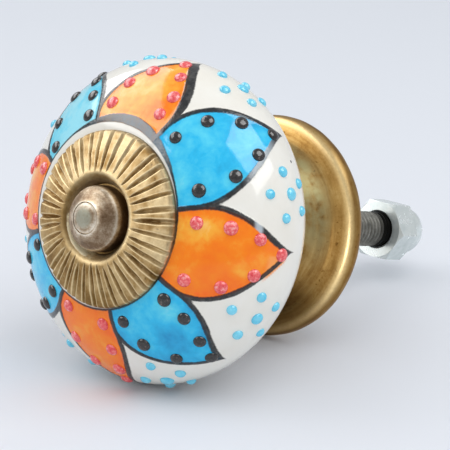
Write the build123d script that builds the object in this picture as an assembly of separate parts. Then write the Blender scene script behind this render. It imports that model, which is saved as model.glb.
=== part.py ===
from build123d import *
from math import acos, asin, cos, degrees, pi, radians, sin, sqrt, tan
import os

# Cabinet knob. The stud's axis lies along Y, the front of the knob faces -Y and +Z is up.
# The origin is the centre of the base's rear face, which lies on the drawer front.

# Ceramic head
head_r = 21.0              # largest radius, at the belt
head_back_depth = 12.0     # from the belt to the seat of the base
head_front_depth = 10.0    # from the belt to the seat of the rosette
head_back_seat_r = 9.6
head_front_seat_r = 11.6
head_edge_round = 0.6      # glaze rounding at the front seat
head_bore_clearance = 0.5

# Raised glaze dots on eight hand-painted petals, angles clockwise from +Z seen from the front
# Each petal: the angle where it starts at the rosette, its tip's angle, and three places in front of the belt:
# its tip, its first dots, and the ring of dots in the white that follows it
petals = [
    (-24.0, 6.5, 1.0, 8.7, -0.5),
    (24.0, 47.0, -2.0, 8.8, -0.3),
    (72.0, 88.5, -0.8, 8.95, 1.4),
    (118.5, 133.5, 1.2, 9.4, 2.2),
    (166.0, 174.0, 0.5, 9.2, 0.8),
    (208.5, 230.0, -1.0, 9.2, 0.5),
    (251.0, 272.0, 0.0, 9.2, 0.5),
    (293.5, 326.0, 0.5, 9.0, 0.5),
]
petal_stations = [(1.0, 0.66), (0.77, 0.54), (0.51, 0.285)]  # share from tip to foot, share of the half width
petal_tip_share = 0.2
petal_dot_r = 0.88
gap_dot_r = 0.7
gap_middle_dot_r = 0.88
gap_ring_r = 3.2
gap_ring_count = 5
gap_ring_turn = 20.0
gap_lean = 0.35            # from between the tips towards between the feet
dot_height = 0.5
dot_root = 0.35            # how far a dot reaches below the glaze
dot_sides = 8
dot_taper = 32.0

# Fluted rosette
rosette_r = 11.2
rosette_edge = 0.85        # thickness at the outer edge
rosette_height = 2.6       # from its seat to the rim of the dish
rosette_crown = 0.18       # bulge of the fluted face
dish_r = 5.75
dish_floor_r = 4.5
dish_floor = 0.8           # thickness left under the dish
dish_rim_round = 0.3
flute_count = 38
flute_inner_r = 6.35
flute_inner_width = 0.72
flute_outer_width = 1.3
flute_spread = 2.6         # width over depth of the V
flute_overrun = 0.5        # how far the cut runs past the face and the edge
rosette_hole_clearance = 0.15

# Riveted dome
dome_r = 4.05
dome_side = 1.55           # straight side above the dish's floor
dome_rise = 2.5            # from the side's top to the pole
tenon_r = 2.0
tenon_gap = 0.1            # ring left open round the riveted end

# Stud and nuts, M5
stud_r = 2.5
stud_free_length = 23.5    # from the base's rear face to the cap nut
stud_end_chamfer = 0.5
thread_clearance = 0.05
nut_flats = 8.0
clamp_nut_height = 4.0
cap_nut_hex_height = 4.2
cap_nut_height = 9.0
cap_dome_r = 3.5
cap_thread_depth = 6.5
cap_engagement = 6.0       # length of stud inside the cap nut
thread_mouth_chamfer = 0.25
hex_sides = 6
hex_chamfer_angle = 30.0

# Flared base
base_height = 12.2
base_collar_r = 9.2
base_plate = 1.4
base_wall = 1.2
base_hole_clearance = 0.25
cove_r = 8.5
cove_sweep = 58.0
cove_start = 9.95          # in front of the rear face
flange_r = 15.0
rim_round = 1.4
mouth_r = 12.0

# Places along the axis, from the rear face forwards
head_back_y = -base_height
belt_y = head_back_y - head_back_depth
head_front_y = belt_y - head_front_depth
rosette_rim_y = head_front_y - rosette_height
dish_floor_y = head_front_y - dish_floor
dome_side_y = dish_floor_y - dome_side
dome_pole_y = dome_side_y - dome_rise
cap_nut_y = stud_free_length
stud_end_y = cap_nut_y + cap_engagement


def window(r0, y0, r1, y1):
    """A rectangle of a section, from one radius and place to another."""
    return Pos(r0, y0) * Rectangle(r1 - r0, y1 - y0, align=(Align.MIN, Align.MIN))


def outline(*points):
    """A section with straight sides."""
    return make_face(Polyline(*points, close=True))


def turned(section):
    """A section turned about the knob's axis."""
    return revolve(section, Axis.Y)


def faceted(lower, upper):
    """A solid with flat faces between two outlines of as many points."""
    faces = [outline(*lower).face(), outline(*upper).face()]
    for i in range(len(lower)):
        faces.append(outline(lower[i - 1], lower[i], upper[i], upper[i - 1]).face())
    return Solid(Shell(faces))


def bulge(depth, seat_r):
    """The half axis of an ellipse that has the belt's radius and meets a seat at this depth."""
    return depth / sqrt(1 - (seat_r / head_r) ** 2)


head_front_bulge = bulge(head_front_depth, head_front_seat_r)
head_back_bulge = bulge(head_back_depth, head_back_seat_r)


def glaze_plane(forward, angle):
    """The plane that touches the glaze at a distance in front of the belt and an angle from +Z."""
    depth = head_front_bulge if forward > 0 else head_back_bulge
    lift = asin(forward / depth)
    turn = radians(angle)
    r = head_r * cos(lift)
    out = cos(lift) / head_r
    ahead = sin(lift) / depth
    point = (r * sin(turn), belt_y - forward, r * cos(turn))
    return Plane(origin=point, z_dir=(out * sin(turn), -ahead, out * cos(turn)))


def glaze_dot(forward, angle, r):
    """A low faceted dome of glaze that stands on the head."""
    plane = glaze_plane(forward, angle)

    def ring(height):
        ring_r = r - height * tan(radians(dot_taper))
        turns = [2 * pi * i / dot_sides for i in range(dot_sides)]
        return [plane.from_local_coords((ring_r * cos(turn), ring_r * sin(turn), height)) for turn in turns]

    return faceted(ring(-dot_root), ring(dot_height))


def petal_dots(start, end, tip_angle, tip, foot):
    """Three dots along each side of a petal, which leans towards its tip, and one near the tip."""
    foot_angle = (start + end) / 2
    half = (end - start) / 2

    def middle(share):
        return tip_angle + (foot_angle - tip_angle) * share

    reach = foot - tip
    dots = [glaze_dot(tip + petal_tip_share * reach, middle(petal_tip_share), petal_dot_r)]
    for share, aside in petal_stations:
        for side in (-1, 1):
            dots.append(glaze_dot(tip + share * reach, middle(share) + side * aside * half, petal_dot_r))
    return dots


def gap_dots(middle, angle):
    """A ring of dots round a larger one, in the white between two petal tips."""
    dots = [glaze_dot(middle, angle, gap_middle_dot_r)]
    for i in range(gap_ring_count):
        turn = radians(gap_ring_turn + i * 360 / gap_ring_count)
        forward = middle + gap_ring_r * sin(turn)
        aside = degrees(gap_ring_r * cos(turn) / head_r)
        dots.append(glaze_dot(forward, angle + aside, gap_dot_r))
    return dots


def make_head():
    bore_r = stud_r + head_bore_clearance
    front = Pos(0, belt_y) * Ellipse(head_r, head_front_bulge)
    back = Pos(0, belt_y) * Ellipse(head_r, head_back_bulge)
    section = front & window(bore_r, head_front_y, head_r, belt_y)
    section += back & window(bore_r, belt_y, head_r, head_back_y)
    corner = section.vertices().sort_by_distance((head_front_seat_r, head_front_y))[0]
    head = turned(fillet(corner, head_edge_round))
    dots = []
    for i, (start, tip_angle, tip, foot, gap) in enumerate(petals):
        turns = (i + 1) // len(petals) * 360
        end, next_tip_angle = petals[(i + 1) % len(petals)][:2]
        end += turns
        between_tips = (tip_angle + next_tip_angle + turns) / 2
        dots += petal_dots(start, end, tip_angle, tip, foot)
        dots += gap_dots(gap, between_tips + gap_lean * (end - between_tips))
    return head + dots


def flute_end(r, y, width):
    """A V of this width where it meets the rosette's face, cut upright to a radius."""
    half = width / 2 + flute_overrun * flute_spread / 2
    left = (-half, y - flute_overrun, r)
    right = (half, y - flute_overrun, r)
    return [left, right, (0, y + width / flute_spread, r)]


def make_rosette():
    hole_r = stud_r + rosette_hole_clearance
    edge_y = head_front_y - rosette_edge
    rim = (dish_r, rosette_rim_y)
    edge = (rosette_r, edge_y)
    dish = (dish_floor_r, dish_floor_y)
    hole = [(hole_r, dish_floor_y), (hole_r, head_front_y)]
    section = make_face(
        [
            Polyline(rim, dish, *hole, (rosette_r, head_front_y), edge),
            SagittaArc(edge, rim, rosette_crown),
        ]
    )
    corner = section.vertices().sort_by_distance(rim)[0]
    disc = turned(fillet(corner, dish_rim_round))
    slope = (rosette_rim_y - edge_y) / (rosette_r - dish_r)
    inner_y = edge_y + slope * (rosette_r - flute_inner_r)
    outer_y = edge_y - slope * flute_overrun
    flute = faceted(
        flute_end(flute_inner_r, inner_y, flute_inner_width),
        flute_end(rosette_r + flute_overrun, outer_y, flute_outer_width),
    )
    return disc - [Rot(0, i * 360 / flute_count, 0) * flute for i in range(flute_count)]


def dome_ball():
    """The round of the dome's outside, which the riveted end of the stud follows too."""
    ball_r = (dome_r**2 + dome_rise**2) / (2 * dome_rise)
    return Pos(0, dome_pole_y + ball_r) * Circle(ball_r)


def make_dome():
    section = dome_ball() & window(tenon_r + tenon_gap, dome_pole_y, dome_r, dome_side_y)
    return turned(section + window(tenon_r + tenon_gap, dome_side_y, dome_r, dish_floor_y))


def make_stud():
    tenon = dome_ball() & window(0, dome_pole_y, tenon_r, dome_side_y)
    tenon += window(0, dome_side_y, tenon_r, dish_floor_y)
    section = tenon + window(0, dish_floor_y, stud_r, stud_end_y)
    corner = section.vertices().sort_by_distance((stud_r, stud_end_y))[0]
    return turned(chamfer(corner, stud_end_chamfer))


def make_base():
    hole_r = stud_r + base_hole_clearance
    centre = (base_collar_r + cove_r, -cove_start)

    def cove(r, sweep):
        return CenterArc(centre, r, 180, -sweep)

    outside = cove(cove_r, cove_sweep)
    flare = outside @ 1
    collar = (base_collar_r, head_back_y)
    form = make_face(
        [
            outside,
            Polyline(flare, (flare.X, 0), (0, 0), (0, head_back_y), collar, outside @ 0),
        ]
    )
    rim_r = flange_r - rim_round
    form += window(0, -rim_round, rim_r, 0)
    form += Pos(rim_r, -rim_round) * Circle(rim_round)
    inner_r = cove_r + base_wall
    inside = cove(inner_r, degrees(acos((centre[0] - mouth_r) / inner_r)))
    plate_y = head_back_y + base_plate
    hollow = make_face(
        [
            inside,
            Polyline(inside @ 1, (mouth_r, 0), (0, 0), (0, plate_y), ((inside @ 0).X, plate_y), inside @ 0),
        ]
    )
    return turned(form - hollow - window(0, head_back_y, hole_r, 0))


def hex_body(y, height):
    """A hexagon bar across the nut's flats, with its corners turned off at both ends."""
    flat_r = nut_flats / 2
    corner_r = flat_r / cos(pi / hex_sides)
    cut = (corner_r - flat_r) * tan(radians(hex_chamfer_angle))
    end = y + height
    start = Plane(origin=(0, y, 0), x_dir=(1, 0, 0), z_dir=(0, 1, 0))
    bar = extrude(start * RegularPolygon(corner_r, hex_sides), amount=height)
    blank = outline((0, y), (flat_r, y), (corner_r, y + cut), (corner_r, end - cut), (flat_r, end), (0, end))
    return bar & turned(blank)


def thread_hole(y, depth):
    """A clear round hole for the thread, with a chamfered mouth at y."""
    r = stud_r + thread_clearance
    end = y + depth
    mouth = (r + thread_mouth_chamfer, y)
    return turned(outline((0, y), mouth, (r, y + thread_mouth_chamfer), (r, end), (0, end)))


def make_clamp_nut():
    y = head_back_y + base_plate
    return hex_body(y, clamp_nut_height) - thread_hole(y, clamp_nut_height)


def make_cap_nut():
    pole_y = cap_nut_y + cap_nut_height
    dome_y = pole_y - cap_dome_r
    section = Pos(0, dome_y) * Circle(cap_dome_r) & window(0, dome_y, cap_dome_r, pole_y)
    section += window(0, cap_nut_y, cap_dome_r, dome_y)
    nut = hex_body(cap_nut_y, cap_nut_hex_height) + turned(section)
    return nut - thread_hole(cap_nut_y, cap_thread_depth)


nodes = {
    "ceramic_head": make_head,
    "front_rosette": make_rosette,
    "dome_cap": make_dome,
    "threaded_stud": make_stud,
    "flared_base": make_base,
    "clamp_nut": make_clamp_nut,
    "cap_nut": make_cap_nut,
}

os.makedirs("parts", exist_ok=True)
for name, make in nodes.items():
    export_step(make(), f"parts/{name}.step")
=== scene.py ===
import functools
import random
from math import acos, asin, atan2, cos, degrees, exp, hypot, inf, pi, radians, sin, sqrt

import bmesh
import bpy
from mathutils import Matrix, Vector, noise


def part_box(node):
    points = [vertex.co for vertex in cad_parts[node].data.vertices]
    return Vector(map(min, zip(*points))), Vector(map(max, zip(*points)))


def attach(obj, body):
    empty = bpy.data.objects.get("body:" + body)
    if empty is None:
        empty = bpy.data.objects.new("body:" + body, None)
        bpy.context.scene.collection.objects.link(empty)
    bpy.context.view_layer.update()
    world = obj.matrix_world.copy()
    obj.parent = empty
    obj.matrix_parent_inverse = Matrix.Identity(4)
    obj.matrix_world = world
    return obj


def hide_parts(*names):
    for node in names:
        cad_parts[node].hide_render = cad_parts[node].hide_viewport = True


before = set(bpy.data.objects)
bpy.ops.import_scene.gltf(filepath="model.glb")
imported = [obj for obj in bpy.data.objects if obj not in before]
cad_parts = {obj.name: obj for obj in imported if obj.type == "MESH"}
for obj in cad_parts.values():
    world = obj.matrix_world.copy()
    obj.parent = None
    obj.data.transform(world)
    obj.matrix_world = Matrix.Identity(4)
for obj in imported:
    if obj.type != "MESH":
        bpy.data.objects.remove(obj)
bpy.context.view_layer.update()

mm = 0.001
fullTurn = 2 * pi
weld = 0.002 * mm  # points closer than this become one
grainMiddle = 0.5  # the value that a grain swings about
scene = bpy.context.scene
scene.view_settings.view_transform = "Standard"


# shader sockets as Python values

def feed(tree, socket, value):
    if isinstance(value, Sock):
        tree.links.new(value.link, socket)
    else:
        socket.default_value = value


class Sock:
    def __init__(self, tree, link):
        self.tree = tree
        self.link = link

    def calc(self, operation, *values):
        node = self.tree.nodes.new("ShaderNodeMath")
        node.operation = operation
        for socket, value in zip(node.inputs, values):
            feed(self.tree, socket, value)
        return Sock(self.tree, node.outputs[0])

    def __add__(self, other):
        return self.calc("ADD", self, other)

    def __sub__(self, other):
        return self.calc("SUBTRACT", self, other)

    def __rsub__(self, other):
        return self.calc("SUBTRACT", other, self)

    def __mul__(self, other):
        return self.calc("MULTIPLY", self, other)

    def top(self, other):
        return self.calc("MAXIMUM", self, other)

    def low(self, other):
        return self.calc("MINIMUM", self, other)

    def ramp(self, start, end):
        # 0 at start, 1 at end, smooth between
        node = self.tree.nodes.new("ShaderNodeMapRange")
        node.interpolation_type = "SMOOTHSTEP"
        flip = end < start
        values = (self, min(start, end), max(start, end), int(flip), int(not flip))
        for socket, value in zip(node.inputs, values):
            feed(self.tree, socket, value)
        return Sock(self.tree, node.outputs[0])

    __radd__ = __add__
    __rmul__ = __mul__


class Finish:
    def __init__(self, name):
        self.material = bpy.data.materials.new(name)
        self.material.use_nodes = True
        self.tree = self.material.node_tree
        self.tree.nodes.clear()

    def add(self, kind, settings, sockets, out=0):
        node = self.tree.nodes.new("ShaderNode" + kind)
        for key, value in settings.items():
            if key == "stops":
                setStops(node.color_ramp, value)
            else:
                setattr(node, key, value)
        for key, value in sockets.items():
            feed(self.tree, node.inputs[key], value)
        return Sock(self.tree, node.outputs[out]) if node.outputs else None

    def place(self, stretch=(1, 1, 1)):
        where = self.add("TexCoord", {}, {}, "Object")
        return self.add("Mapping", {}, {"Vector": where, "Scale": stretch})

    def grain(self, size, detail, rough=0.5, stretch=(1, 1, 1), twist=0):
        sockets = {"Vector": self.place(stretch), "Scale": 1 / (size * mm), "Detail": detail,
                   "Roughness": rough, "Distortion": twist}
        return self.add("TexNoise", {}, sockets)

    def field(self, name):
        return self.add("Attribute", {"attribute_name": name}, {}, "Fac")

    def colour(self, value, stops):
        return self.add("ValToRGB", {"stops": stops}, {0: value})

    def mix(self, factor, first, second):
        # sockets 6 and 7 take its colours, and 2 gives the mixed one
        settings = {"data_type": "RGBA", "clamp_factor": True}
        return self.add("Mix", settings, {0: factor, 6: first, 7: second}, 2)

    def bump(self, height, depth, strength):
        return self.add("Bump", {}, {"Height": height, "Distance": depth * mm, "Strength": strength})

    def close(self, sockets):
        shader = self.add("BsdfPrincipled", {}, sockets)
        self.add("OutputMaterial", {}, {"Surface": shader})
        return self.material


def setStops(ramp, stops):
    while len(ramp.elements) < len(stops):
        ramp.elements.new(0.5)  # anywhere, it is placed below
    for element, (place, *colour) in zip(ramp.elements, stops):
        element.position = place
        element.color = rgb(*colour)


def rgb(red, green, blue):
    # a colour written 0-255 as seen on a screen, by the screen's own curve
    def linear(value):
        value /= 255
        return value / 12.92 if value <= 0.04045 else ((value + 0.055) / 1.055) ** 2.4
    return (linear(red), linear(green), linear(blue), 1.0)


def grained(pair, grain):
    # a value at its least, and what a grain adds
    least, more = pair
    return grain * more + least


# shares from 0 to 1 that shapes and paint are worked out with

def smoothStep(value):
    value = max(0.0, min(1.0, value))
    return value * value * (3 - 2 * value)


def climb(value, start, run):
    return smoothStep((value - start) / run)


def near(value, place, reach, steep=1):
    # 1 on the spot, 0 past its reach; a steep one stays near 1 for longer
    return smoothStep(steep - steep * abs(value - place) / reach)


def spot(value, place, reach):
    return exp(-((value - place) / reach) ** 2)


def sided(angle, middle, steep, start):
    # most at one angle round the axis, least across from it
    return smoothStep(start + steep * cos(radians(angle - middle)))


def atLeast(least, share):
    return least + (1 - least) * share


def turnFrom(middle, angle):
    return (angle - middle + 180) % 360 - 180


# pieces turned about the knob's axis

def spun(profile, steps, sectors=8):
    # one sector is turned, then its copies close the ring
    bm = bmesh.new()
    verts = [bm.verts.new((r * mm, y * mm, 0)) for r, y in profile]
    edges = [bm.edges.new(pair) for pair in zip(verts, verts[1:])]
    sector = fullTurn / sectors
    axis = {"cent": (0, 0, 0), "axis": (0, 1, 0)}
    bmesh.ops.spin(bm, geom=verts + edges, angle=sector, steps=steps // sectors, **axis)
    bmesh.ops.spin(bm, geom=bm.verts[:] + bm.edges[:] + bm.faces[:], angle=fullTurn - sector,
                   steps=sectors - 1, use_duplicate=True, **axis)
    bmesh.ops.remove_doubles(bm, verts=bm.verts, dist=weld)
    return bm


def points(bm):
    # every point with its place in mm and its distance from the axis
    for vert in bm.verts:
        x, y, z = vert.co / mm
        yield vert, x, y, z, hypot(x, z)


def arc(centre, radius, start, end, count):
    # points of a section, angles from +r towards +y
    turns = [radians(start + (end - start) * i / count) for i in range(count + 1)]
    return [(centre[0] + radius * cos(turn), centre[1] + radius * sin(turn)) for turn in turns]


def straight(first, last, count):
    return [tuple(a + (b - a) * i / count for a, b in zip(first, last)) for i in range(count + 1)]


def bent(first, corner, last, count):
    # a curve that leaves and arrives along the two sides of a corner
    shares = [i / count for i in range(count + 1)]
    return [tuple(a * (1 - t) ** 2 + 2 * b * t * (1 - t) + c * t * t
                  for a, b, c in zip(first, corner, last)) for t in shares]


def facing(right, up, out, place):
    return Matrix.Translation(place) @ Matrix((right, up, out)).transposed().to_4x4()


def linked(name, data):
    thing = bpy.data.objects.new(name, data)
    scene.collection.objects.link(thing)
    return thing


pieces = {}


def keep(name, bm, material, body="knob", replaced=(), sharp=40):
    bmesh.ops.recalc_face_normals(bm, faces=bm.faces)
    mesh = bpy.data.meshes.new(name)
    bm.to_mesh(mesh)
    bm.free()
    mesh.shade_smooth()
    mesh.set_sharp_from_angle(angle=radians(sharp))
    mesh.materials.append(material)
    piece = linked(name, mesh)
    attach(piece, body)
    if replaced:
        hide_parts(*replaced)
    pieces[name] = piece
    print("made", name, len(mesh.polygons), "faces")
    return piece


def setFields(piece, names, rows):
    # a row holds one point's values, in the order of the names
    for name, values in zip(names, zip(*rows)):
        piece.data.attributes.new(name, "FLOAT", "POINT").data.foreach_set("value", values)


# the head; lengths are in mm, and forward is counted from its widest ring, the belt, to the front

head = {
    "radius": 21.0,
    "backY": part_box("ceramic_head")[1].y / mm,
    "backDepth": 12.0, "frontDepth": 10.0,
    "frontSeat": 11.6, "backSeat": 9.6,
    "edgeRound": 0.6,
    "edgeRings": 4,  # rings of the skin that the rounded edge takes the place of
    "bore": 3.0,
    "boreClear": 1.0,  # no ink is raised nearer the bore than this
    "turns": 512, "rings": 150,
}
head["beltY"] = head["backY"] - head["backDepth"]
head["frontY"] = head["beltY"] - head["frontDepth"]


def bulge(depth, seat):
    return depth / sqrt(1 - (seat / head["radius"]) ** 2)


frontBulge = bulge(head["frontDepth"], head["frontSeat"])
backBulge = bulge(head["backDepth"], head["backSeat"])

# petals clockwise from the top, seen from the front: start at the rosette, the tip's angle and level,
# levels of the first dots and of the white dots that follow, depth of the colour
petalKeys = ("start", "tipAngle", "tip", "foot", "white", "depth")
petalRows = [
    (-24.0, 6.5, 1.0, 8.7, -0.5, -0.1),
    (24.0, 47.0, -2.0, 8.8, -0.3, 0.0),
    (72.0, 88.5, -0.8, 8.95, 1.4, 0.2),
    (118.5, 133.5, 1.2, 9.4, 2.2, 0.16),
    (166.0, 174.0, 0.5, 9.2, 0.8, 0.2),
    (208.5, 230.0, -1.0, 9.2, 0.5, 0.0),
    (251.0, 272.0, 0.0, 9.2, 0.5, 0.05),
    (293.5, 326.0, 0.5, 9.0, 0.5, -0.4),
]
petals = [dict(zip(petalKeys, row)) for row in petalRows]
for number, petal in enumerate(petals):
    following = petals[(number + 1) % len(petals)]
    lap = 360 if number + 1 == len(petals) else 0
    petal["end"] = following["start"] + lap
    petal["nextTip"] = following["tipAngle"] + lap
    petal["middle"] = (petal["start"] + petal["end"]) / 2

paint = {
    "shoulder": 8.9,  # where a petal has its whole width
    "belly": 0.7,  # how round its sides are
    "ringRadius": 11.75,  # the painted edge round the rosette
    "ringShift": (-0.7, 0.35),
    "ringFar": 9.0,  # stands for the distance to it behind the belt
    "ink": 0.34,  # half the width of a painted line
    "inkWaver": 0.3,  # share that it changes by, and how fast with angle and ring
    "inkWaverSteps": (0.12, 0.3, 2.0),
    "inkFoot": 0.5,  # what the line gains between two petals' feet, and how far out
    "inkFootReach": 0.9,
    "inkHeavy": (0.55, 1.5),  # what it gains along the right of the top petal, and how fast
    "inkLight": 0.1,  # what it loses on that petal's left
    "inkTip": (0.35, 5.0, 0.2),  # share left at a tip, and how soon the line is whole
    "band": 0.25,  # the line round the rosette, and what it gains at the top
    "bandTop": 1.05,
    "bandPlace": (5.0, 55.0),
    "inkLift": 0.07,
    "inkInside": -0.5,  # how far inside the ring ink is still raised
    # colour that is paler or deeper in patches: angle, in front of the belt, reach, change
    "tonePatches": [
        (98.0, 5.6, 0.9, -0.3),
        (80.0, 8.4, 2.4, -0.22),
        (55.0, 5.5, 2.0, 0.15),
        (140.0, 6.0, 2.0, 0.2),
        (352.0, 7.5, 2.2, -0.12),
        (14.0, 8.5, 1.8, 0.2),
        (130.0, 8.6, 1.7, -0.4),
    ],
    # orange drawn past the line: petal, place along it, half its reach, steepness, how far out, softness
    "smearPetal": 2, "smear": (0.2, 0.16, 2), "smearOut": (-0.75, 0.25),
    # ink greyed by a painted reflection: petal, side, share greyed, place along it, half its reach and
    # steepness
    "rubbed": [(1, 1, 0.65, 0.4, 0.26, 1.6), (2, -1, 0.9, 0.48, 0.06, 1.6)],
    # the same painted reflection on the rosette's line, by its angle, and how far out it reaches
    "bandReflection": (0.3, 14.0, 40.0, 1.5), "bandReflectionOut": 1.6,
    "speck": (57.0, -2.1, 0.26),  # ink dropped on the white: angle, in front of the belt, radius
    # the glaze's grains: size, detail, roughness, stretch, twist
    "cloud": (4.5, 3, 0.55),
    "streak": (2.2, 3, 0.6, (1, 0.5, 1), 0.6),
    "fine": (0.9, 4, 0.6),
    "wobble": (1.6, 2), "beads": (0.3, 2),
    # what each counts for in the depth of a colour, and the depth without them
    "cloudShare": 0.9, "streakShare": 0.7, "fineShare": 0.3, "depth": 0.45,
    "pool": 0.16,  # colour gathered along a petal's edge
    "poolReach": (2.2, 0.2),
    # edges from clear to full
    "petalSoft": (-0.05, 0.08), "ringSoft": (-0.05, 0.1), "inkSoft": (-0.1, 0.1), "bandSoft": (-0.1, 0.08),
    # how much they waver
    "petalWobble": 0.12, "bandWobble": 0.2, "inkWobble": 0.18, "inkBeads": 0.16,
    "inkCover": (0.97, 0.3), "inkGlint": (0.7, 0.6),
    "inkRise": 0.8, "cloudRise": 0.5,
    "bump": (0.06, 0.6), "rough": (0.05, 0.08), "bending": 1.46,
    "orange": [(0.0, 255, 210, 122), (0.3, 255, 176, 54), (0.6, 255, 134, 6), (1.0, 253, 106, 3)],
    "blue": [(0.0, 152, 228, 244), (0.3, 88, 213, 242), (0.6, 40, 190, 238), (1.0, 18, 146, 202)],
    "white": [(0.25, 235, 231, 220), (0.75, 241, 239, 231)],
    "black": [(0.3, 22, 24, 27), (0.75, 44, 45, 46)],
    "smearColour": rgb(253, 160, 80),
    # pale grey of ink under a painted reflection
    "inkReflectionColour": rgb(186, 196, 202),
}


def bulgeAt(forward):
    return frontBulge if forward > 0 else backBulge


def latitude(forward):
    return asin(max(-1.0, min(1.0, forward / bulgeAt(forward))))


@functools.cache
def petalRow(forward):
    # every petal's middle, half width, edge lean and place along it at one level of the head
    here = latitude(forward)
    shoulder = latitude(paint["shoulder"])
    belly = paint["belly"]
    r = head["radius"] * cos(here)
    run = hypot(head["radius"] * sin(here), bulgeAt(forward) * cos(here))
    row = []
    for petal in petals:
        tip = latitude(petal["tip"])
        span = shoulder - tip
        along = (here - tip) / span
        x = max(0.0, min(1.0, along))
        half = (petal["end"] - petal["start"]) / 2
        width = half * (belly * smoothStep(x) + (1 - belly) * min(along, 1.0))
        # 6x(1 - x) is how fast a smooth step climbs
        slope = half * (belly * 6 * x * (1 - x) + (1 - belly)) / span if along < 1 else 0.0
        lean = hypot(1, radians(slope) * r / run)
        middle = petal["tipAngle"] + (petal["middle"] - petal["tipAngle"]) * x
        row.append((middle, width, radians(r / lean), along))
    return row


def petalField(angle, forward):
    # distance in mm to the nearest petal's edge (positive inside), its number, place along and across it
    best = (-inf, 0, 0.0, 0.0)
    for i, (middle, width, size, along) in enumerate(petalRow(round(forward, 3))):
        aside = turnFrom(middle, angle)
        distance = (width - abs(aside)) * size
        if distance > best[0]:
            best = (distance, i, along, aside / max(width, 1.0))
    return best


def headPoint(angle, forward):
    # a point on the glaze and its outward direction
    here = latitude(forward)
    turn = radians(angle)
    r = head["radius"] * cos(here)
    flat = cos(here) / head["radius"]
    out = Vector((flat * sin(turn), -sin(here) / bulgeAt(forward), flat * cos(turn)))
    point = Vector((r * sin(turn), head["beltY"] - forward, r * cos(turn)))
    return point * mm, out.normalized()


def headSection():
    soft = head["edgeRound"]
    seat = head["frontSeat"]
    start = asin(head["frontDepth"] / frontBulge)
    end = -asin(head["backDepth"] / backBulge)
    skin = []
    for i in range(head["rings"] + 1):
        here = start + (end - start) * i / head["rings"]
        skin.append((head["radius"] * cos(here), head["beltY"] - bulgeAt(here) * sin(here)))
    rim = [(seat - soft, head["frontY"]), (seat - soft / 3, head["frontY"] + soft / 9)]
    bore = [(head["bore"], head["backY"]), (head["bore"], head["frontY"])]
    return rim + skin[head["edgeRings"]:] + bore + rim[:1]


def glaze():
    f = Finish("painted_glaze")
    edge = f.field("edge")
    ring = f.field("ring")
    cloud = f.grain(*paint["cloud"])
    fine = f.grain(*paint["fine"])
    cloudSwing = cloud - grainMiddle
    fineSwing = fine - grainMiddle
    streak = f.grain(*paint["streak"]) - grainMiddle
    wobble = f.grain(*paint["wobble"]) - grainMiddle
    beads = f.grain(*paint["beads"]) - grainMiddle
    inside = (edge + wobble * paint["petalWobble"]).ramp(*paint["petalSoft"]) * ring.ramp(*paint["ringSoft"])
    pooled = paint["pool"] * edge.ramp(*paint["poolReach"])
    density = cloudSwing * paint["cloudShare"] + streak * paint["streakShare"]
    density = density + fineSwing * paint["fineShare"] + paint["depth"] + pooled + f.field("depth")
    orange = f.colour(density, paint["orange"])
    blue = f.colour(density, paint["blue"])
    white = f.colour(cloud, paint["white"])
    skin = f.mix(inside, white, f.mix(f.field("hue"), orange, blue))
    skin = f.mix(f.field("smear"), skin, paint["smearColour"])
    ragged = wobble * paint["inkWobble"] + beads * paint["inkBeads"]
    line = ((edge + f.field("line")).low(paint["ink"] - edge) - ragged).ramp(*paint["inkSoft"])
    line = line * ring.ramp(*paint["inkSoft"])
    band = (ring - f.field("band") + ragged).ramp(*reversed(paint["inkSoft"]))
    band = band * (ring + wobble * paint["bandWobble"]).ramp(*paint["bandSoft"])
    angle, forward, radius = paint["speck"]
    dropped = {0: f.place(), 1: headPoint(angle, forward)[0]}
    away = f.add("VectorMath", {"operation": "DISTANCE"}, dropped, "Value")
    speck = away.ramp(radius * mm, radius * mm / 2)
    ink = line.top(band).top(speck) * grained(paint["inkCover"], fineSwing)
    # ink greyed by a painted reflection
    inkGlint = f.field("rubbed") * grained(paint["inkGlint"], fine)
    black = f.mix(inkGlint, f.colour(fine, paint["black"]), paint["inkReflectionColour"])
    height = ink * (paint["inkRise"] + beads) + cloudSwing * paint["cloudRise"]
    return f.close({"Base Color": f.mix(ink, skin, black), "Roughness": grained(paint["rough"], fine),
                    "IOR": paint["bending"], "Normal": f.bump(height, *paint["bump"])})


def tonePatch(angle, forward):
    change = 0.0
    for middle, level, reach, amount in paint["tonePatches"]:
        aside = radians(turnFrom(middle, angle)) * head["radius"] * cos(latitude(forward))
        change += amount * exp(-(aside ** 2 + (forward - level) ** 2) / reach ** 2)
    return change


def smear(distance, number, along, aside):
    if number != paint["smearPetal"] or aside < 0:
        return 0.0
    return near(along, *paint["smear"]) * climb(distance, *paint["smearOut"])


def rubbed(angle, ring, number, along, aside):
    # share of the ink that a painted reflection greys
    share, *place = paint["bandReflection"]
    greyed = share * near(angle, *place) if ring < paint["bandReflectionOut"] else 0.0
    for petal, side, share, *place in paint["rubbed"]:
        if number == petal and aside * side > 0:
            greyed = max(greyed, share * near(along, *place))
    return greyed


def lineWidth(angle, ring, number, along, aside):
    byAngle, byRing, layer = paint["inkWaverSteps"]
    waver = noise.noise(Vector((angle * byAngle, ring * byRing, layer)))
    width = paint["ink"] * (1 + paint["inkWaver"] * waver)
    width += paint["inkFoot"] * exp(-max(ring, 0.0) / paint["inkFootReach"])
    if number == 0:
        gain, steep = paint["inkHeavy"]
        width += gain * smoothStep(aside * steep) - paint["inkLight"] * smoothStep(-aside)
    left, run, start = paint["inkTip"]
    return width * atLeast(left, smoothStep(along * run + start))


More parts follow.
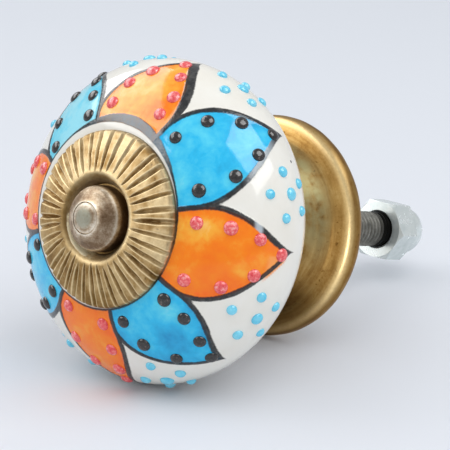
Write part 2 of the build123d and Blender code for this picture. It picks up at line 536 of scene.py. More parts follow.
def makeHead():
    bm = spun(headSection(), head["turns"])
    rows = []
    shiftX, shiftZ = paint["ringShift"]
    for vert, x, y, z, r in points(bm):
        forward = head["beltY"] - y
        angle = degrees(atan2(x, z))
        distance, number, along, aside = petalField(angle, forward)
        ring = hypot(x - shiftX, z - shiftZ) - paint["ringRadius"] if forward > 0 else paint["ringFar"]
        line = lineWidth(angle, ring, number, along, aside)
        band = paint["band"] + paint["bandTop"] * near(angle, *paint["bandPlace"])
        depth = petals[number]["depth"] + tonePatch(angle, forward)
        rows.append((distance, number % 2, ring, depth, line, band, smear(distance, number, along, aside),
                     rubbed(angle, ring, number, along, aside)))
        if ring > paint["inkInside"] and r > head["bore"] + head["boreClear"]:
            reach = min(max(-distance - line, distance - paint["ink"]), abs(ring - band / 2) - band / 2)
            out = headPoint(angle, forward)[1]
            vert.co += out * paint["inkLift"] * mm * smoothStep(0.5 - reach / paint["ink"] / 2)
    piece = keep("painted_head", bm, glaze(), replaced=["ceramic_head"])
    setFields(piece, ("edge", "hue", "ring", "depth", "line", "band", "smear", "rubbed"), rows)


makeHead()

# raised dots, two at each station of a petal and one at its tip, then a ring on the white that follows

dots = {
    "stations": [(1.0, 0.66), (0.77, 0.54), (0.51, 0.285)],  # place along the petal, and across it
    "tipShare": 0.2,
    "petalRadius": 0.88, "gapRadius": 0.7, "gapMiddleRadius": 0.88,
    "gapRing": 3.2, "gapCount": 5, "gapTurn": 20.0, "gapLean": 0.35,
    "height": 0.5,
    "around": 20, "rows": 12, "seed": 7,
    # what chance changes from dot to dot
    "sizes": (0.92, 1.06), "turns": (-0.5, 0.5), "shifts": (-0.2, 0.2), "heights": (0.9, 1.0),
    # the look that all of them share
    "grain": (3, 0.6), "bending": 1.6, "bump": (0.05, 0.5),
}


def addDrop(bm, angle, forward, radius, height):
    point, out = headPoint(angle, forward)
    sideways = out.orthogonal().normalized()
    size = Matrix.Diagonal((radius * mm, radius * mm, height * mm, 1))
    bmesh.ops.create_uvsphere(bm, u_segments=dots["around"], v_segments=dots["rows"], radius=1,
                              matrix=facing(sideways, out.cross(sideways), out, point) @ size)


def makeDots():
    chance = random.Random(dots["seed"])
    bunches = {"coral": bmesh.new(), "black": bmesh.new(), "sky": bmesh.new()}

    def drop(bunch, angle, forward, radius):
        size = radius * chance.uniform(*dots["sizes"])
        angle += chance.uniform(*dots["turns"])
        forward += chance.uniform(*dots["shifts"])
        addDrop(bunches[bunch], angle, forward, size, dots["height"] * chance.uniform(*dots["heights"]))

    for number, petal in enumerate(petals):
        tipAngle = petal["tipAngle"]
        lean = petal["middle"] - tipAngle
        half = (petal["end"] - petal["start"]) / 2
        bunch = "black" if number % 2 else "coral"
        reach = petal["foot"] - petal["tip"]
        share = dots["tipShare"]
        drop(bunch, tipAngle + lean * share, petal["tip"] + share * reach, dots["petalRadius"])
        for share, aside in dots["stations"]:
            for side in (-1, 1):
                drop(bunch, tipAngle + lean * share + side * aside * half, petal["tip"] + share * reach,
                     dots["petalRadius"])
        gap = (tipAngle + petal["nextTip"]) / 2
        gap += dots["gapLean"] * (petal["end"] - gap)
        drop("sky", gap, petal["white"], dots["gapMiddleRadius"])
        for k in range(dots["gapCount"]):
            turn = radians(dots["gapTurn"] + 360 * k / dots["gapCount"])
            aside = degrees(dots["gapRing"] * cos(turn) / head["radius"])
            drop("sky", gap + aside, petal["white"] + dots["gapRing"] * sin(turn), dots["gapRadius"])
    return bunches


dotLooks = {
    "coral": {
        # its palest stop gives specks that are painted glints
        "stops": [(0.3, 222, 58, 68), (0.5, 239, 100, 102), (0.64, 249, 152, 148), (0.8, 255, 222, 216)],
        "size": 0.42, "rough": (0.1, 0.1),
    },
    "black": {
        # its palest stop gives brown-grey specks that are painted reflections
        "stops": [(0.35, 24, 24, 26), (0.6, 48, 44, 42), (0.75, 120, 108, 100)],
        "size": 0.4, "rough": (0.08, 0.1),
    },
    "sky": {
        "stops": [(0.3, 84, 198, 232), (0.7, 136, 222, 244)],
        "size": 1.2, "rough": (0.05, 0.1),
    },
}


def dotGlaze(name, look):
    f = Finish(name)
    speck = f.grain(look["size"], *dots["grain"])
    return f.close({"Base Color": f.colour(speck, look["stops"]), "Roughness": grained(look["rough"], speck),
                    "IOR": dots["bending"], "Normal": f.bump(speck, *dots["bump"])})


for bunch, bm in makeDots().items():
    name = bunch + "_dots"
    keep(name, bm, dotGlaze(name, dotLooks[bunch]), replaced=["ceramic_head"])

# brass that is dark in its hollows with patina and painted shade, bright on its edges with wear and painted
# highlights, and pale in a painted reflection patch

brassLook = {
    # grains: size, detail, roughness
    "cloud": (3.0, 4, 0.6),
    "fine": (0.35, 3, 0.6),
    "pits": (0.6, 2, 0.5), "pitted": (0.34, 0.24),
    "patches": (0.9, 4, 0.7), "patchShare": 0.9,
    "dishReflectionRamp": (0.3, 0.62),
    "polish": rgb(255, 246, 212),
    "dishReflectionMetalLoss": 0.3,  # what the painted reflection patch loses of its metal
    "lathe": {"Scale": 1.0, "Detail": 4.0, "Roughness": 0.65},
    "worn": (0.7, 0.6), "fineShare": 0.25, "pitShare": 0.22,
    "hollow": (0.75, 0.5), "patinaAndSheenSpread": (0.3, 0.6),
    "cloudRise": 0.6, "bump": (0.03, 0.4), "roughHollow": 0.2,
}


def brass(name, own):
    f = Finish(name)
    look = brassLook
    cloud = f.grain(*look["cloud"])
    fine = f.grain(*look["fine"])
    pits = f.grain(*look["pits"]).ramp(*look["pitted"])
    hollow = f.field("hollow")
    worn = f.field("worn") * grained(look["worn"], fine)
    patches = (f.grain(*look["patches"]) - grainMiddle) * look["patchShare"]
    # a pale painted reflection patch, with ragged edges
    pale = (f.field("polish") + patches).ramp(*look["dishReflectionRamp"])
    turned = f.add("CombineXYZ", {}, {"X": f.field("station"), "Y": f.field("turn")})
    lathe = f.add("TexNoise", {"noise_dimensions": "2D"}, {"Vector": turned, **look["lathe"]})
    shade = cloud * (1 - own["streaks"]) + lathe * own["streaks"]
    shade = shade + (fine - grainMiddle) * look["fineShare"] - pits * look["pitShare"]
    colour = f.colour(shade, own["stops"])
    # patina and painted shade, mixed toward the dark colour
    colour = f.mix(hollow * grained(look["hollow"], fine), colour, own["dark"])
    # greenish patina and a painted sheen on the upper side
    colour = f.mix(f.field("bloom") * cloud.ramp(*look["patinaAndSheenSpread"]), colour, own["bloom"])
    # wear and painted highlights toward the bright colour, then the painted reflection patch toward the pale
    # colour
    colour = f.mix(pale, f.mix(worn, colour, own["bright"]), look["polish"])
    normal = f.bump(fine + cloud * look["cloudRise"] - pits, *look["bump"])
    return f.close({"Base Color": colour, "Metallic": 1 - pale * look["dishReflectionMetalLoss"], "Normal": normal,
                    "Roughness": grained(own["rough"], fine) + hollow * look["roughHollow"]})


rosette = {
    "radius": 11.2, "edge": 0.85, "height": 2.6, "crown": 0.18,
    "dish": 5.4, "dishFloor": 4.4, "floor": 0.8, "hole": 2.65,
    "lip": (0.5, 0.12),  # where the dish's rim starts to round, up its wall, and ends, out on the face
    "roll": (0.94, 0.3),  # the same for the outer edge, out on the face and above its seat
    "wallSteps": 16, "lipSteps": 8, "faceSteps": 24, "rollSteps": 6,
    "flutes": 38,
    "samples": 24,  # round the axis, for each flute
    "sectors": 4, "sharp": 55,
    "fluteStart": 5.7,
    "fluteShare": 0.5,  # of the way from rib to rib
    "fluteDepth": 0.5,
    "fluteRound": 0.85,  # 1 is a plain V
    "swell": (3.5, 0.1),  # how fast a flute grows from its start, and its size there
    "narrowing": 0.35,  # and what it loses again over its outer half
    "leastWidth": 0.4, "leastDepth": 0.25, "fadeIn": 9,
    "faceInside": 0.2,  # flutes run from this far inside the dish's edge to this far above the roll
    "faceAbove": 0.05,
    "waver": 0.06,  # how much a flute winds, and how fast along it and from one to the next
    "waverSteps": (0.7, 3.1, 5.0),
    "dents": 0.035, "dentSteps": 1.4,
    # what chance changes from flute to flute
    "seed": 3,
    "turns": (-1.0, 1.0), "widths": (0.8, 1.12), "depths": (0.6, 1.2), "starts": (-0.25, 0.35),
    "brass": {
        "stops": [(0.25, 112, 84, 46), (0.45, 156, 123, 72), (0.6, 188, 159, 110), (0.8, 224, 202, 158)],
        "rough": (0.4, 0.14),
        # colours: patina with painted shade, wear with painted highlights, and the painted highlight on the
        # upper face
        "dark": rgb(72, 57, 32), "bright": rgb(252, 232, 186), "bloom": rgb(232, 220, 186),
        "streaks": 0.1,
    },
    # its wear, patina, painted shade and painted highlights
    "corner": 0.3,  # painted shade where the dish's wall meets its floor: reach and darkness
    "cornerShade": 0.35,
    "shaded": (140.0, 28.0),  # painted shade on the dish's lower right: angle and reach, darkness and brightness lost
    "shadedDarkness": 0.5, "shadedLoss": 0.7,
    "dark": (310.0, 1.3, 0.0),  # painted shade on the upper left, where dark runs over the rim: angle, steepness and start
    "darkOut": 0.4, "darkSoft": 0.3, "darkInside": (4.7, 0.5), "darkShade": 0.5, "darkLoss": 0.8,
    "wall": (0.65, 0.4),  # painted highlight inside the dish, and how far in it is whole
    "flute": (0.08, 0.2, 1.3),  # patina and painted shade in a flute, the painted shade that the right side adds, and how steep it is
    "rib": (1.05, 0.2),  # a rib's edge, its place across the flute, reach and brightness
    "ribBright": 0.7,
    "rim": (0.15, 0.35),  # the dish's rim, its place and reach
    "rimBright": (0.5, 0.45),  # wear in the middle, and the painted highlight that the right side adds
    # painted shade on the rim: brightness lost on the lower right, darkness on the left and lower right
    "rimLoss": 0.6, "rimLeftShade": 0.35, "rimShaded": 0.4,
    "below": (200.0, 1.2, -0.2),  # painted shade on the lower part of the face: angle, steepness and start
    "belowShade": 0.2,
    "side": (0.8, 0.1),  # painted shade on the outer edge where it meets the glaze, and its reach
    "bloom": 0.28,  # painted highlight, a paler upper face: angle, steepness and start, and from where out
    "patinaAndSheenSpread": (30.0, 0.6, 0.65), "patinaAndSheenOut": (0.3, 0.8),
    "reflectionPatch": (226, 62),  # a pale painted reflection low in the dish, its angle and half its reach
    "reflectionPatchEnds": (0.3, 0.1),  # clear of the hole and of the dish's edge
    "lathe": (2, 12),  # streaks, by how far out and by degrees round
}


def rosetteSection():
    front = head["frontY"]
    floorY = front - rosette["floor"]
    rim = (rosette["dish"], front - rosette["height"])
    edge = (rosette["radius"], front - rosette["edge"])

    def onFace(share):
        r, y = (a + (b - a) * share for a, b in zip(rim, edge))
        return r, y - rosette["crown"] * 4 * share * (1 - share)  # most midway

    lipLow, lipEnd = rosette["lip"]
    rollStart, rollLow = rosette["roll"]
    steps = rosette["wallSteps"]
    wall = straight((rosette["dishFloor"], floorY), rim, steps)[:int(steps * lipLow) + 1]
    face = [onFace(share) for (share,) in straight((lipEnd,), (rollStart,), rosette["faceSteps"])]
    lip = bent(wall[-1], rim, face[0], rosette["lipSteps"])
    roll = bent(face[-1], edge, (rosette["radius"], front - rollLow), rosette["rollSteps"])
    hole = [(rosette["hole"], front), (rosette["hole"], floorY)]
    back = [(rosette["radius"], front), (rosette["hole"], front)]
    return hole + wall + lip[1:] + face[1:] + roll[1:] + back


def fluteAt(flutes, r, angle):
    # the flute at a point of the face: how far out across it, how far it has grown, and how deep it is
    pitch = 360 / rosette["flutes"]
    number = int(angle // pitch) % rosette["flutes"]
    flute = flutes[number]
    alongStep, numberStep, layer = rosette["waverSteps"]
    aside = radians(angle - (number + 0.5) * pitch - flute["turn"]) * r
    aside += rosette["waver"] * noise.noise(Vector((r * alongStep, number * numberStep, layer)))
    share = (r - rosette["fluteStart"] - flute["start"]) / (rosette["radius"] - rosette["fluteStart"])
    grow, start = rosette["swell"]
    swell = smoothStep(share * grow + start) * (1 - rosette["narrowing"] * smoothStep(share * 2 - 1))
    width = radians(pitch) * r * rosette["fluteShare"] * flute["wide"] * atLeast(rosette["leastWidth"], swell)
    out = abs(aside) / (width / 2)
    inFlute = smoothStep(share * rosette["fadeIn"])
    cut = max(0.0, 1 - out) ** rosette["fluteRound"]
    depth = rosette["fluteDepth"] * atLeast(rosette["leastDepth"], swell) * flute["deep"] * inFlute * cut
    return out, inFlute, depth


def rosetteTones(x, r, angle, onFace, out, inFlute):
    # painted shade and patina in the hollows, wear and painted highlights on the edges, and a painted
    # highlight on the upper face
    dish = rosette["dish"]
    corner = climb(r, rosette["dishFloor"], rosette["corner"])
    shaded = spot(angle, *rosette["shaded"])
    wide = sided(angle, *rosette["dark"])
    rimAt = dish + rosette["darkOut"] * wide
    dark = wide * smoothStep((rimAt - r) / rosette["darkSoft"] + 0.5) * climb(r, *rosette["darkInside"])
    if onFace:
        least, more, steep = rosette["flute"]
        # patina in the flutes, with painted shade growing to the right
        shadeAndPatina = inFlute * smoothStep(steep - steep * out) * (least + more * smoothStep(x / r))
        wearAndSheen = rosette["ribBright"] * inFlute * spot(out, *rosette["rib"])
        # the worn rim, with a painted highlight growing to the right that the painted shade takes away
        rim = spot(r - rimAt, *rosette["rim"])
        bright, more = rosette["rimBright"]
        wearAndSheen = max(wearAndSheen, (bright + more * x / r) * (1 - rosette["rimLoss"] * shaded) * rim)
        # painted shade on the rim's left, the upper left and the lower right, then on the lower face
        shadeAndPatina = max(shadeAndPatina, rosette["rimLeftShade"] * smoothStep(-x / r) * rim, rosette["darkShade"] * dark,
                    rosette["rimShaded"] * shaded * rim)
        shadeAndPatina += rosette["belowShade"] * sided(angle, *rosette["below"])
    else:
        # a painted highlight inside the dish, taken away where painted shade lies
        bright, inward = rosette["wall"]
        wearAndSheen = bright * smoothStep((dish - r) / inward) * corner
        wearAndSheen *= (1 - rosette["shadedLoss"] * shaded) * (1 - rosette["darkLoss"] * dark)
        # painted shade in the dish's corner, on its lower right and on its upper left
        shadeAndPatina = rosette["cornerShade"] * (1 - corner) + rosette["shadedDarkness"] * shaded * (r < dish)
        shadeAndPatina = max(shadeAndPatina, rosette["darkShade"] * dark)
        # painted shade on the outer edge
        sideShade, sideReach = rosette["side"]
        if r > rosette["radius"] - sideReach:
            shadeAndPatina = sideShade
    # a painted highlight on the upper face
    bloom = rosette["bloom"] * sided(angle, *rosette["patinaAndSheenSpread"]) * climb(r - dish, *rosette["patinaAndSheenOut"])
    return shadeAndPatina, wearAndSheen, bloom


def makeRosette():
    bm = spun(rosetteSection(), rosette["flutes"] * rosette["samples"], rosette["sectors"])
    chance = random.Random(rosette["seed"])
    ranges = {"turn": "turns", "wide": "widths", "deep": "depths", "start": "starts"}
    flutes = [{key: chance.uniform(*rosette[value]) for key, value in ranges.items()}
              for i in range(rosette["flutes"])]
    faceY = head["frontY"] - rosette["roll"][1] - rosette["faceAbove"]
    reflectionPatch, reflectionPatchReach = rosette["reflectionPatch"]
    holeClear, edgeClear = rosette["reflectionPatchEnds"]
    outStep, roundStep = rosette["lathe"]
    rows = []
    for vert, x, y, z, r in points(bm):
        angle = degrees(atan2(x, z)) % 360
        onFace = y < faceY and r > rosette["dish"] - rosette["faceInside"]
        out, inFlute, depth = fluteAt(flutes, r, angle)
        if onFace:
            vert.co.y += depth * mm
            vert.co.y += rosette["dents"] * noise.noise(Vector((x, y, z)) * rosette["dentSteps"]) * mm
        # a painted reflection patch low in the dish
        inDish = rosette["hole"] + holeClear < r < rosette["dish"] - edgeClear
        polish = inDish * (1 - abs(angle - reflectionPatch) / reflectionPatchReach)
        tones = rosetteTones(x, r, angle, onFace, out, inFlute)
        rows.append((*tones, polish, r * outStep, abs(angle - 180) / roundStep))
    finish = brass("rosette_brass", rosette["brass"])
    piece = keep("front_rosette", bm, finish, replaced=["front_rosette"],
                 sharp=rosette["sharp"])
    setFields(piece, ("hollow", "worn", "bloom", "polish", "station", "turn"), rows)


makeRosette()

dome = {
    "radius": 4.2, "side": 1.85, "rise": 2.2,
    "tenon": 2.0,
    "groove": 0.05,
    "grooveRings": (0.25, 0.06),  # below the hole's edge
    "edgeRound": 0.8, "edgeCorner": 0.5,
    "crownSteps": 16, "edgeSteps": 8, "turns": 72,
    "shadedSide": 0.4,  # painted shade, browner on one side, towards +x and down: across, up, and from where
    "shadedSideAim": (0.8, -0.6, 0.3),
    "sideShade": 0.8,  # painted shade on its side; where it starts, from the side's front, and over what run
    "sideShaded": (-0.15, 0.7),
    "edgeBright": 0.9,  # the same for the worn edge, which is also a painted highlight line, with its reach
    "edgeWearAndHighlight": (-0.32, 0.16),
    "holeBright": 0.75, "holeWorn": 0.3,
    # its patina
    "cloud": (1.6, 4, 0.6), "fine": (0.25, 3, 0.6),
    "cloudShare": 0.75, "fineShare": 0.35, "wearAndHighlightShare": 0.3,
    "stops": [(0.3, 104, 82, 62), (0.48, 148, 124, 99), (0.62, 190, 170, 144), (0.8, 236, 224, 204)],
    # colour of the painted shade
    "dark": rgb(76, 50, 24), "darkened": (0.7, 0.6),
    "bare": rgb(176, 178, 160), "bareLeast": 0.4,
    "rough": (0.34, 0.2), "bump": (0.04, 0.5),
}
dishFloorY = head["frontY"] - rosette["floor"]
domeSideY = dishFloorY - dome["side"]
ballRadius = (dome["radius"] ** 2 + dome["rise"] ** 2) / (2 * dome["rise"])
ballY = domeSideY - dome["rise"] + ballRadius


def onBall(r):
    return r, ballY - sqrt(ballRadius ** 2 - r ** 2)


def patina():
    f = Finish("dome_patina")
    cloud = f.grain(*dome["cloud"])
    fine = f.grain(*dome["fine"])
    # wear and a painted highlight line lighten the shade
    shade = cloud * dome["cloudShare"] + fine * dome["fineShare"] + f.field("worn") * dome["wearAndHighlightShare"]
    colour = f.colour(shade, dome["stops"])
    # painted shade on one side and on the side wall, toward the dark colour
    colour = f.mix(f.field("hollow") * grained(dome["darkened"], cloud), colour, dome["dark"])
    colour = f.mix(f.field("bare") * (dome["bareLeast"] + fine), colour, dome["bare"])
    return f.close({"Base Color": colour, "Metallic": 1.0, "Roughness": grained(dome["rough"], fine),
                    "Normal": f.bump(fine + cloud, *dome["bump"])})


domeFinish = patina()


def makeDome():
    rim = dome["radius"]
    soft = dome["edgeRound"]
    hole = dome["tenon"] + dome["groove"]
    crown = [onBall(r) for (r,) in straight((hole,), (rim - soft,), dome["crownSteps"])]
    corner = (rim, crown[-1][1] + soft * dome["edgeCorner"])
    shoulder = bent(crown[-1], corner, (rim, domeSideY + soft), dome["edgeSteps"])
    groove = [(hole, crown[0][1] + below) for below in dome["grooveRings"]]
    foot = (hole, dishFloorY)
    bm = spun([foot] + groove + crown + shoulder[1:] + [(rim, dishFloorY), foot], dome["turns"])
    across, upward, start = dome["shadedSideAim"]
    rows = []
    for vert, x, y, z, r in points(bm):
        # painted shade: browner to one side, and dark on the side wall
        shadedSide = dome["shadedSide"] * smoothStep((across * x + upward * z) / r + start) * smoothStep(r - hole)
        hollow = max(shadedSide, dome["sideShade"] * climb(y - domeSideY, *dome["sideShaded"]))
        # the worn edge, also a painted highlight line, and the worn ring round the rivet
        worn = dome["edgeBright"] * spot(y - domeSideY, *dome["edgeWearAndHighlight"])
        rows.append((hollow, worn + dome["holeBright"] * spot(r, hole, dome["holeWorn"])))
    piece = keep("dome_cap", bm, domeFinish, replaced=["dome_cap"])
    setFields(piece, ("hollow", "worn"), rows)


makeDome()

# stud with its riveted front end and rolled thread

stud = {
    "radius": 2.5, "core": 2.06, "pitch": 0.8,
    "ridge": (2.6, 0.15),  # how steep a thread's side is, and how flat its top
    "threadStart": -11.0, "threadFade": 1.5,
    "end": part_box("threaded_stud")[1].y / mm,
    "chamfer": 0.5,
    "rivetEdge": 0.08, "rivetSteps": 8,
    "around": 40, "perPitch": 8, "sharp": 60,
    "grease": (20.6, 2),  # painted shadow where the stud goes into the cap nut: dark from here to the end that the nut covers
    "rivetBright": 0.9,  # its worn edge, and reach
    "rivetWorn": 0.4,
    "rivetBare": 0.8,  # grey in the middle, from where in and over what run
    "bared": (1.5, -0.5),
    "stops": [(0.3, 96, 96, 90), (0.55, 138, 137, 130), (0.8, 176, 174, 165)],
    "rough": (0.33, 0.15), "metal": 1.0,
}
nuts = {
    "names": ("cap_nut", "clamp_nut"),
    "stops": [(0.3, 206, 215, 213), (0.55, 226, 233, 231), (0.8, 242, 247, 245)],
    "rough": (0.18, 0.15), "metal": 0.62,
}
steelLook = {
    "cloud": (1.4, 3, 0.6), "fine": (0.3, 3, 0.6),
    "cloudShare": 0.8, "fineShare": 0.2,
    # colour of the painted shadow on the stud near the cap nut
    "grease": rgb(26, 26, 24),
}


def steel(name, own):
    f = Finish(name)
    look = steelLook
    cloud = f.grain(*look["cloud"])
    shade = cloud * look["cloudShare"] + f.grain(*look["fine"]) * look["fineShare"]
    # painted shadow near the cap nut, toward a near black
    colour = f.mix(f.field("grease"), f.colour(shade, own["stops"]), look["grease"])
    rough = grained(own["rough"], cloud)
    return f.close({"Base Color": colour, "Metallic": own["metal"], "Roughness": rough})


def cutThread(bm):
    steep, flat = stud["ridge"]
    for vert, x, y, z, r in points(bm):
        if y <= stud["threadStart"] or r < dome["tenon"]:
            continue
        turn = (y / stud["pitch"] + atan2(x, z) / fullTurn) % 1
        groove = smoothStep(abs(turn - 0.5) * steep - flat)
        fade = climb(y, stud["threadStart"], stud["threadFade"])
        limit = stud["radius"] - max(0.0, y - stud["end"] + stud["chamfer"])
        size = min(stud["radius"] - (stud["radius"] - stud["core"]) * groove * fade, limit)
        vert.co.x *= size / r
        vert.co.z *= size / r


def makeStud():
    tenon = dome["tenon"]
    steps = stud["rivetSteps"]
    rivet = [onBall(tenon * i / steps) for i in range(steps)]
    edgeY = onBall(tenon)[1] + stud["rivetEdge"]
    shoulder = [(tenon, edgeY), (tenon, dishFloorY), (stud["radius"], dishFloorY)]
    count = int((stud["end"] - stud["threadStart"]) / stud["pitch"] * stud["perPitch"])
    thread = straight((stud["radius"], stud["threadStart"]), (stud["radius"], stud["end"]), count)
    bm = spun(rivet + shoulder + thread + [(0, stud["end"])], stud["around"])
    cutThread(bm)
    rows = []
    for vert, x, y, z, r in points(bm):
        # painted shadow near the cap nut, the worn rivet edge and its bare grey middle
        rows.append((climb(y, *stud["grease"]), stud["rivetBright"] * spot(r, tenon, stud["rivetWorn"]),
                     stud["rivetBare"] * climb(r, *stud["bared"])))
    finish = steel("stud_steel", stud)
    piece = keep("threaded_stud", bm, finish, replaced=["threaded_stud"], sharp=stud["sharp"])
    setFields(piece, ("grease", "worn", "bare"), rows)
    piece.data.materials.append(domeFinish)  # on the riveted end
    for face in piece.data.polygons:
        face.material_index = int(face.center.y < dishFloorY * mm)


makeStud()

zinc = steel("zinc_plate", nuts)
for nodeName in nuts["names"]:
    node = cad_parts[nodeName]
    node.data.materials.clear()
    node.data.materials.append(zinc)
    pieces[nodeName] = node
print("plated both nuts")

base = {
    "collar": 9.2, "collarEdge": 0.15,
    "plate": 1.4, "wall": 1.2, "hole": 2.75,
    "cove": 8.5, "sweep": 48.0,
    "dip": (12.32, -3.36),  # where the cove turns over into the bead
    "coveStart": 9.95,
    "flange": 15.0, "rimRound": 1.4, "rimStart": -70.0,
    "mouth": 12.0,
    "turns": 160,
    "coveSteps": 24, "dipSteps": 8, "rimSteps": 20, "hollowSteps": 20,
    "uneven": (0.03, 0.5),  # how far the turned skin strays, and how fast
    "unevenInside": 1.0, "unevenEnds": (-11.5, -0.2),
    "brass": {
        "stops": [(0.25, 126, 90, 42), (0.42, 168, 126, 66), (0.58, 198, 158, 92), (0.8, 228, 196, 132)],
        "rough": (0.25, 0.14),
        # colours: patina with painted shade, wear with a painted highlight, and greenish patina with a
        # painted reflection
        "dark": rgb(70, 46, 18), "bright": rgb(250, 220, 160), "bloom": rgb(172, 162, 116),
        "streaks": 0.6,
    },
    # its wear, patina, painted shade and painted highlights
    "coveGrimed": (2.6, 1.2),  # patina in the cove: from how far in front of the rear face, and over what run
    # painted shade next to the head, over what run, and how dark the patina and that shade are
    "collarShaded": 1.5, "covePatinaAndShade": 0.3,
    "low": (0.35, 0.5),  # painted shade on the underside, by how far down it faces
    "under": (1.0, 2), "underShade": 0.6,
    # painted shade on the rim's outer side
    "outside": (14.4, 0.5), "outsideShade": 0.35,
    "bead": (14.3, -2.6),  # the worn line on the bead, also a painted highlight
    # its reach and brightness, and what it loses underneath as painted shade
    "beadReach": 0.5, "beadBright": 0.9, "beadLoss": 0.6,
    # greenish patina on the cove's upper side, also a painted reflection
    "patinaAndSheenStart": 0.5, "bloom": (3.2, 1.5),
    "lathe": (1.1, 0.5, 1.5),  # streaks, along the axis, outward and round it
}


def baseSection():
    centre = (base["collar"] + base["cove"], -base["coveStart"])
    outside = arc(centre, base["cove"], 180, 180 - base["sweep"], base["coveSteps"])
    rimCentre = (base["flange"] - base["rimRound"], -base["rimRound"])
    rim = arc(rimCentre, base["rimRound"], base["rimStart"], 90, base["rimSteps"])
    flow = bent(outside[-1], base["dip"], rim[0], base["dipSteps"])[1:-1]
    inner = base["cove"] + base["wall"]
    sweep = degrees(acos((centre[0] - base["mouth"]) / inner))
    inside = arc(centre, inner, 180 - sweep, 180, base["hollowSteps"])
    top = head["backY"]
    plate = top + base["plate"]
    soft = base["collarEdge"]
    corner = [(base["hole"], top), (base["collar"] - soft, top), (base["collar"], top + soft)]
    bore = [(inside[-1][0], plate), (base["hole"], plate), (base["hole"], top)]
    return corner + outside + flow + rim + [(base["mouth"], 0)] + inside + bore


def baseTones(y, z, r):
    # patina in the cove, painted shade next to the head, under it and outside, wear and a painted highlight
    # on the bead, and greenish patina with a painted reflection on the upper side
    low = climb(-z / r, *base["low"])
    # patina in the cove, and painted shade next to the head
    cove = climb(-y, *base["coveGrimed"]) + climb(-y, base["coveStart"], base["collarShaded"])
    hollow = base["covePatinaAndShade"] * cove
    # painted shade underneath and on the rim's outer side
    hollow += base["underShade"] * low * climb(-y, *base["under"])
    hollow += base["outsideShade"] * climb(r, *base["outside"])
    beadR, beadY = base["bead"]
    # the worn bead line, also a painted highlight, dimmer underneath
    bead = exp(-((r - beadR) ** 2 + (y - beadY) ** 2) / base["beadReach"] ** 2)
    # greenish patina with a painted reflection on the upper side
    bloom = smoothStep(z / r + base["patinaAndSheenStart"]) * climb(-y, *base["bloom"])
    return hollow, (base["beadBright"] - base["beadLoss"] * low) * bead, bloom


def makeBase():
    bm = spun(baseSection(), base["turns"])
    stray, straySteps = base["uneven"]
    strayStart, strayEnd = base["unevenEnds"]
    alongStep, outStep, roundStep = base["lathe"]
    rows = []
    for vert, x, y, z, r in points(bm):
        rows.append((*baseTones(y, z, r), y * alongStep + r * outStep, abs(atan2(x, z)) * roundStep))
        if r > base["collar"] - base["unevenInside"] and strayStart < y < strayEnd:
            push = stray * noise.noise(Vector((x, y, z)) * straySteps)
            vert.co.x *= 1 + push / r
            vert.co.z *= 1 + push / r
    finish = brass("base_brass", base["brass"])
    piece = keep("flared_base", bm, finish, replaced=["flared_base"])
    setFields(piece, ("hollow", "worn", "bloom", "station", "turn"), rows)


makeBase()

# floor under the head's belt and the base's rim

stage = {
    "tilt": 15.7, "drop": 20.75, "size": 900,
    "near": rgb(229, 232, 238), "far": rgb(227, 231, 237),
    "fade": (-0.09, 0.16),  # from near to far, in metres along the axis
    "grain": (60, 2), "grainShare": 0.05, "rough": 0.7,
}
floorTurn = Matrix.Rotation(radians(stage["tilt"]), 4, "X")
floorUp = floorTurn.to_3x3() @ Vector((0, 0, 1))
floorSpot = Vector((0, head["beltY"], 0)) * mm - floorUp * stage["drop"] * mm


def makeFloor():
    bm = bmesh.new()
    bmesh.ops.create_grid(bm, x_segments=2, y_segments=2, size=stage["size"] * mm,
                          matrix=Matrix.Translation(floorSpot) @ floorTurn)
    mesh = bpy.data.meshes.new("floor")
    bm.to_mesh(mesh)
    bm.free()
    f = Finish("floor_paper")
    away = f.add("SeparateXYZ", {}, {0: f.place()}, "Y")
    away = away + (f.grain(*stage["grain"]) - grainMiddle) * stage["grainShare"]
    shade = f.mix(away.ramp(*stage["fade"]), stage["near"], stage["far"])
    mesh.materials.append(f.close({"Base Color": shade, "Roughness": stage["rough"]}))
    floor = linked("floor", mesh)
    print("laid the floor")


makeFloor()

# camera at the photograph's place

view = {
    "azimuth": 38.65, "elevation": 6.59, "roll": -10.28,
    "distance": 308.8,
    "aim": (6.30, -18.90, 0.94),
    "lens": 192.0, "sensor": 36, "nearest": 10,
}


def makeCamera():
    azimuth = radians(view["azimuth"])
    elevation = radians(view["elevation"])
    back = Vector((sin(azimuth) * cos(elevation), -cos(azimuth) * cos(elevation),
                   sin(elevation)))
    right = Vector((0, 0, 1)).cross(back).normalized()
    up = back.cross(right)
    roll = radians(view["roll"])
    tilted = right * cos(roll) - up * sin(roll)
    up = right * sin(roll) + up * cos(roll)
    data = bpy.data.cameras.new("camera")
    data.lens = view["lens"]
    data.sensor_width = view["sensor"]
    data.clip_start = view["nearest"] * mm
    camera = linked("camera", data)
    camera.matrix_world = facing(tilted, up, back, (Vector(view["aim"]) + back * view["distance"]) * mm)
    scene.camera = camera
    print("set the camera")
    return back


toCamera = makeCamera()

# soft boxes, then their sheen on the glaze and on the metal; turn is from the camera's side to its right,
# rise is above the floor, away and size are in mm

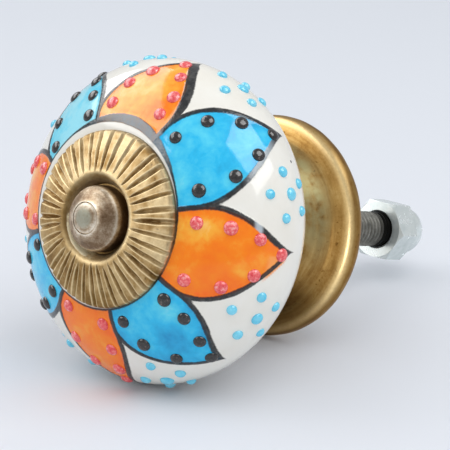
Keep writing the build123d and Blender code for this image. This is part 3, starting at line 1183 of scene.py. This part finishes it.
boxAway = 450
lamps = [
    {"name": "right_box", "turn": 60, "rise": 56, "away": boxAway, "size": (440, 440), "power": 0.75},
    {"name": "left_box", "turn": -108, "rise": 42, "away": boxAway, "size": (440, 440), "power": 0.6},
    {"name": "front_cloth", "turn": 0, "rise": 60, "away": 600, "size": (800, 800), "power": 0.9},
]
glazedPieces = ["painted_head", "coral_dots", "black_dots", "sky_dots"]
metalPieces = ["front_rosette", "dome_cap", "threaded_stud", "flared_base", *nuts["names"]]
sheenKeys = ("name", "turn", "rise", "size", "bright", "on")
sheenRows = [
    ("right_sheen", 62, 54, (370, 340), 5.0, glazedPieces),
    ("left_sheen", -112, 42, (700, 280), 4.0, glazedPieces),
    ("right_glow", 66, 62, (420, 240), 1.2, metalPieces),
    ("left_glow", -108, 43, (560, 300), 1.7, metalPieces),
    ("nut_glow", -78, 10, (340, 200), 1.5, nuts["names"]),
    ("bead_glow", -16, 8, (130, 130), 7.0, ["flared_base"]),
    ("rosette_glow", -78, 22, (800, 300), 1.5, ["front_rosette"]),
    ("dome_glow", -68, 34, (300, 240), 2.6, ["dome_cap"]),
]
sheens = [dict(zip(sheenKeys, row), away=boxAway) for row in sheenRows]
heading = (toCamera - floorUp * toCamera.dot(floorUp)).normalized()
sideways = floorUp.cross(heading)


def makeLamp(lamp, power):
    turn = radians(lamp["turn"])
    rise = radians(lamp["rise"])
    out = (heading * cos(turn) + sideways * sin(turn)) * cos(rise) + floorUp * sin(rise)
    data = bpy.data.lights.new(lamp["name"], "AREA")
    data.shape = "RECTANGLE"
    data.size, data.size_y = (side * mm for side in lamp["size"])
    data.energy = power
    light = linked(lamp["name"], data)
    across = floorUp.cross(out).normalized()
    place = Vector((0, head["beltY"] * mm, 0)) + out * lamp["away"] * mm
    light.matrix_world = facing(across, out.cross(across), out, place)
    return light


for lamp in lamps:
    makeLamp(lamp, lamp["power"]).visible_glossy = False
for sheen in sheens:
    area = sheen["size"][0] * sheen["size"][1] * mm * mm
    light = makeLamp(sheen, sheen["bright"] * pi * area)
    light.visible_diffuse = False
    group = bpy.data.collections.new(sheen["name"])
    for name in sheen["on"]:
        group.objects.link(pieces[name])
    light.light_linking.receiver_collection = group

room = {"colour": rgb(219, 221, 225), "strength": 0.8}
world = bpy.data.worlds.new("room")
scene.world = world
world.use_nodes = True
backdrop = world.node_tree.nodes["Background"]
backdrop.inputs["Color"].default_value = room["colour"]
backdrop.inputs["Strength"].default_value = room["strength"]
print("lit the room")
